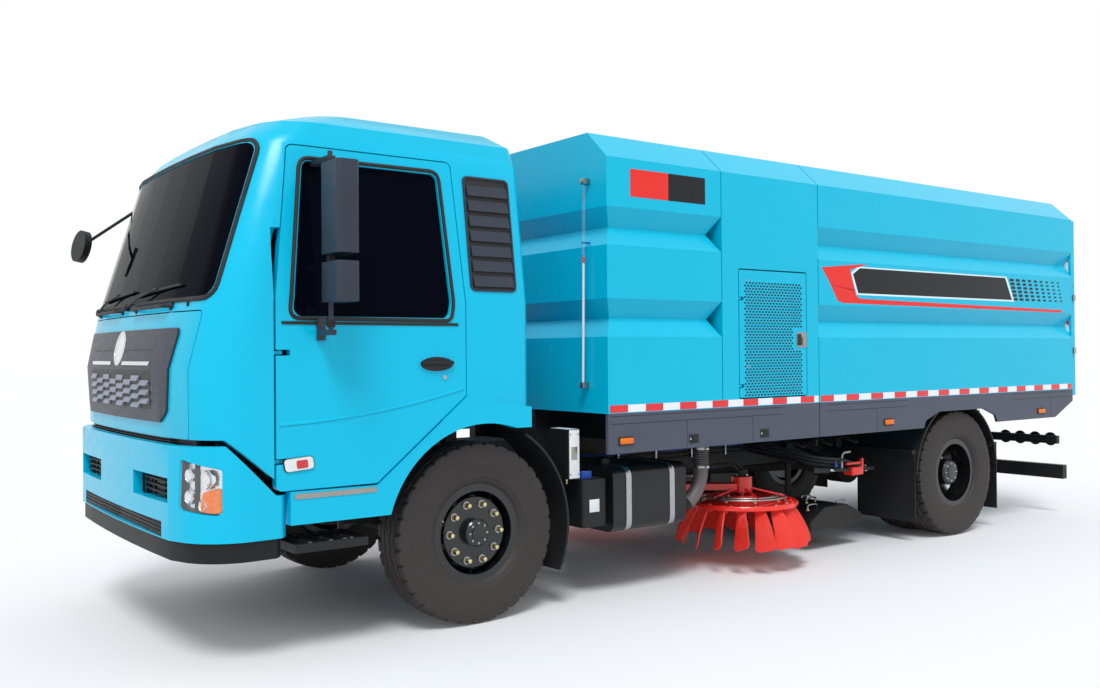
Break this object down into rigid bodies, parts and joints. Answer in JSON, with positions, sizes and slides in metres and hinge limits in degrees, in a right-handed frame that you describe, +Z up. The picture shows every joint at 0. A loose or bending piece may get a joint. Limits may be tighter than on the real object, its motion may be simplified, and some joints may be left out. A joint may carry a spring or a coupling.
{
  "type": "street sweeper truck",
  "caption": "Two-axle wash-and-sweep street sweeper truck with tilting cab, disc brooms, suction nozzle and tipping hopper.",
  "frame": {"origin": "on the ground under the middle of the overall length and width", "axes": "+X towards the front of the truck, +Y to its left-hand side, +Z up"},
  "size_m": [8.4, 3.075, 2.965],
  "materials": {
    "cyan_paint": "gloss",
    "skirt_grey": "satin",
    "frame_black": "satin",
    "spring_steel": "satin",
    "engine_metal": "matt",
    "lamp_glass": "clear",
    "black_plastic": "matt",
    "tank_black": "satin",
    "grey_hose": "matt",
    "black_rubber": "matt",
    "cast_grey": "matt",
    "rim_black": "satin",
    "tyre_rubber": "matt",
    "grille_plastic": "matt",
    "tinted_glass": "tinted",
    "cabin_plastic": "matt",
    "seat_fabric": "woven",
    "red_paint": "gloss",
    "red_bristle": "matt",
    "chromed_rod": "polished"
  },
  "bodies": {
    "chassis": {"chassis_frame": "frame_black", "front_axle": "frame_black", "leaf_springs": "spring_steel", "rear_axle": "frame_black", "engine_block": "engine_metal", "front_bumper": "cyan_paint", "headlamps": "lamp_glass", "front_mudguards": "black_plastic", "cab_steps": "black_plastic", "urea_tank": "black_plastic", "fuel_tank": "tank_black", "battery_box": "tank_black", "air_hose": "grey_hose", "water_tank": "cyan_paint", "machine_bay": "cyan_paint", "fan_engine": "engine_metal", "front_skirts": "skirt_grey", "rear_fenders": "black_plastic", "rear_bars": "frame_black", "suction_hose": "black_rubber"},
    "cab": {"cab_body": "cyan_paint", "cab_floor": "cyan_paint", "cab_roof": "cyan_paint", "front_panel": "cyan_paint", "grille": "grille_plastic", "windscreen": "tinted_glass", "dashboard": "cabin_plastic", "seats": "seat_fabric", "round_mirror": "black_plastic"},
    "steering_wheel": {"steering_wheel": "cabin_plastic"},
    "left_door": {"left_door": "cyan_paint", "left_door_glass": "tinted_glass", "left_mirrors": "black_plastic"},
    "right_door": {"right_door": "cyan_paint", "right_door_glass": "tinted_glass", "right_mirrors": "black_plastic"},
    "left_knuckle": {"left_knuckle": "cast_grey"},
    "right_knuckle": {"right_knuckle": "cast_grey"},
    "left_front_wheel": {"left_front_rim": "rim_black", "left_front_tyre": "tyre_rubber"},
    "right_front_wheel": {"right_front_rim": "rim_black", "right_front_tyre": "tyre_rubber"},
    "left_rear_wheels": {"left_rear_rims": "rim_black", "left_rear_tyres": "tyre_rubber"},
    "right_rear_wheels": {"right_rear_rims": "rim_black", "right_rear_tyres": "tyre_rubber"},
    "left_service_door": {"left_service_door": "cyan_paint"},
    "right_service_door": {"right_service_door": "cyan_paint"},
    "left_broom_arm": {"left_broom_arm": "red_paint"},
    "right_broom_arm": {"right_broom_arm": "red_paint"},
    "left_broom": {"left_broom": "red_bristle"},
    "right_broom": {"right_broom": "red_bristle"},
    "suction_nozzle": {"suction_nozzle": "frame_black"},
    "hopper": {"hopper": "cyan_paint", "hopper_skirts": "skirt_grey"},
    "rear_door": {"rear_door": "cyan_paint"},
    "tip_barrel": {"tip_barrel": "frame_black"},
    "tip_rod": {"tip_rod": "chromed_rod"}
  },
  "joints": [
    {"name": "left_steer", "type": "hinge", "parent": "chassis", "child": "left_knuckle", "pos_m": [2.48, 0.8, 0.526], "axis": [0, 0, 1], "range_deg": [-35, 35]},
    {"name": "left_front_roll", "type": "hinge", "parent": "left_knuckle", "child": "left_front_wheel", "pos_m": [2.48, 0.991, 0.526], "axis": [0, 1, 0], "continuous": true},
    {"name": "left_rear_roll", "type": "hinge", "parent": "chassis", "child": "left_rear_wheels", "pos_m": [-2.27, 0.916, 0.526], "axis": [0, 1, 0], "continuous": true},
    {"name": "left_door_hinge", "type": "hinge", "parent": "cab", "child": "left_door", "pos_m": [3.7, 1.165, 1.4], "axis": [0, 0, -1], "range_deg": [0, 70]},
    {"name": "left_service_hinge", "type": "hinge", "parent": "chassis", "child": "left_service_door", "pos_m": [0.414, 1.24, 1.65], "axis": [0, 0, -1], "range_deg": [0, 100]},
    {"name": "left_broom_swing", "type": "hinge", "parent": "chassis", "child": "left_broom_arm", "pos_m": [0.541, 0.52, 0.56], "axis": [0, 0, -1], "range_deg": [0, 35]},
    {"name": "left_broom_spin", "type": "hinge", "parent": "left_broom_arm", "child": "left_broom", "pos_m": [0.021, 0.88, 0.45], "axis": [0, 0, 1], "continuous": true},
    {"name": "right_steer", "type": "hinge", "parent": "chassis", "child": "right_knuckle", "pos_m": [2.48, -0.8, 0.526], "axis": [0, 0, 1], "range_deg": [-35, 35]},
    {"name": "right_front_roll", "type": "hinge", "parent": "right_knuckle", "child": "right_front_wheel", "pos_m": [2.48, -0.991, 0.526], "axis": [0, 1, 0], "continuous": true},
    {"name": "right_rear_roll", "type": "hinge", "parent": "chassis", "child": "right_rear_wheels", "pos_m": [-2.27, -0.916, 0.526], "axis": [0, 1, 0], "continuous": true},
    {"name": "right_door_hinge", "type": "hinge", "parent": "cab", "child": "right_door", "pos_m": [3.7, -1.165, 1.4], "axis": [0, 0, 1], "range_deg": [0, 70]},
    {"name": "right_service_hinge", "type": "hinge", "parent": "chassis", "child": "right_service_door", "pos_m": [0.414, -1.24, 1.65], "axis": [0, 0, 1], "range_deg": [0, 100]},
    {"name": "right_broom_swing", "type": "hinge", "parent": "chassis", "child": "right_broom_arm", "pos_m": [0.541, -0.52, 0.56], "axis": [0, 0, 1], "range_deg": [0, 35]},
    {"name": "right_broom_spin", "type": "hinge", "parent": "right_broom_arm", "child": "right_broom", "pos_m": [0.021, -0.88, 0.45], "axis": [0, 0, 1], "continuous": true},
    {"name": "cab_tilt", "type": "hinge", "parent": "chassis", "child": "cab", "pos_m": [4.1, 0, 0.905], "axis": [0, 1, 0], "range_deg": [0, 45]},
    {"name": "steering_column", "type": "hinge", "parent": "cab", "child": "steering_wheel", "pos_m": [3.61, 0.5, 1.825], "axis": [-0.5299, 0, 0.848], "range_deg": [-630, 630]},
    {"name": "nozzle_lift", "type": "slide", "parent": "chassis", "child": "suction_nozzle", "axis": [0, 0, 1], "range_m": [-0.11, 0], "deforming": ["suction_hose"]},
    {"name": "hopper_tip", "type": "hinge", "parent": "chassis", "child": "hopper", "pos_m": [-3.7, 0, 1.08], "axis": [0, -1, 0], "range_deg": [0, 45]},
    {"name": "rear_door_hinge", "type": "hinge", "parent": "hopper", "child": "rear_door", "pos_m": [-4.115, 0, 2.925], "axis": [0, 1, 0], "range_deg": [0, 80]},
    {"name": "ram_swing", "type": "hinge", "parent": "chassis", "child": "tip_barrel", "pos_m": [-2.4, 0, 0.85], "axis": [0, -1, 0], "range_deg": [0, 65]},
    {"name": "ram_slide", "type": "slide", "parent": "tip_barrel", "child": "tip_rod", "axis": [0.9832, 0, 0.1826], "range_m": [0, 0.816]}
  ],
  "couplings": [
    {"joint": "right_steer", "follows": "left_steer", "ratio": 1},
    {"joint": "ram_swing", "follows": "hopper_tip", "ratio": 1.4279},
    {"joint": "ram_slide", "follows": "hopper_tip", "m_per_rad": 1.0377}
  ]
}
